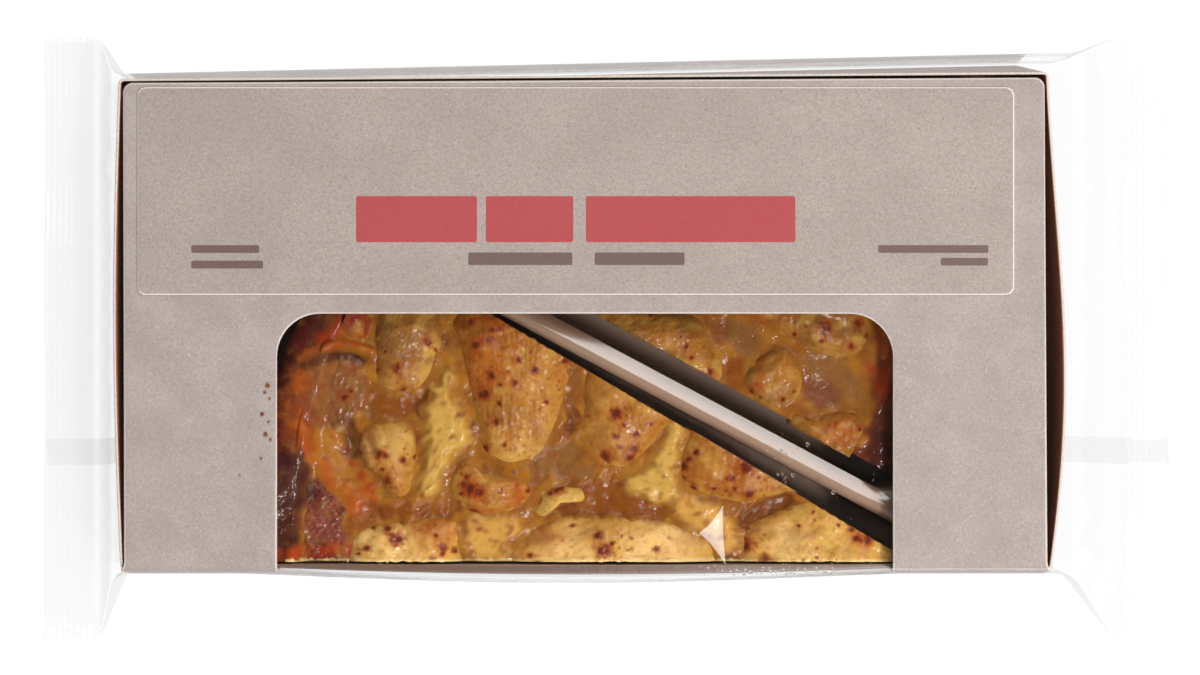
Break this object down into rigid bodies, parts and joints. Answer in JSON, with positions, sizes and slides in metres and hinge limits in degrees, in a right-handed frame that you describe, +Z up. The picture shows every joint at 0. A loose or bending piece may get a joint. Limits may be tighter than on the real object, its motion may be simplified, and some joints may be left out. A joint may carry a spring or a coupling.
{
  "type": "packed french apple tart slices",
  "caption": "wedge slices of apple and custard tart, head to tail in a dark ridged tray, seen through the window of a flat paperboard carton in a clear sealed wrapper",
  "frame": {"origin": "middle of the carton's flat underside", "axes": "+X to the right along the carton, seen from its windowed front edge; +Y to the carton's back; +Z up, out of the lid"},
  "size_m": [0.2372, 0.126, 0.0365],
  "materials": {
    "board": "uncoated kraft paperboard",
    "label_paper": "matt printed paper",
    "tray_plastic": "glossy thermoformed sheet",
    "film": "clear crinkled wrapping film",
    "crust": "browned shortcrust pastry",
    "custard": "baked custard with a thin glaze",
    "apple": "glazed baked apple with browned spots"
  },
  "bodies": {
    "root": {"carton": "board", "label": "label_paper", "tray": "tray_plastic", "film_end_left": "film", "film_end_right": "film", "pastry_1": "crust", "pastry_2": "crust", "custard_1": "custard", "custard_2": "custard", "apple_1_01": "apple", "apple_1_02": "apple", "apple_1_03": "apple", "apple_1_04": "apple", "apple_1_05": "apple", "apple_1_06": "apple", "apple_1_07": "apple", "apple_1_08": "apple", "apple_1_09": "apple", "apple_1_10": "apple", "apple_1_11": "apple", "apple_1_12": "apple", "apple_1_13": "apple", "apple_2_01": "apple", "apple_2_02": "apple", "apple_2_03": "apple", "apple_2_04": "apple", "apple_2_05": "apple", "apple_2_06": "apple", "apple_2_07": "apple", "apple_2_08": "apple", "apple_2_09": "apple", "apple_2_10": "apple", "apple_2_11": "apple", "apple_2_12": "apple"}
  },
  "joints": []
}
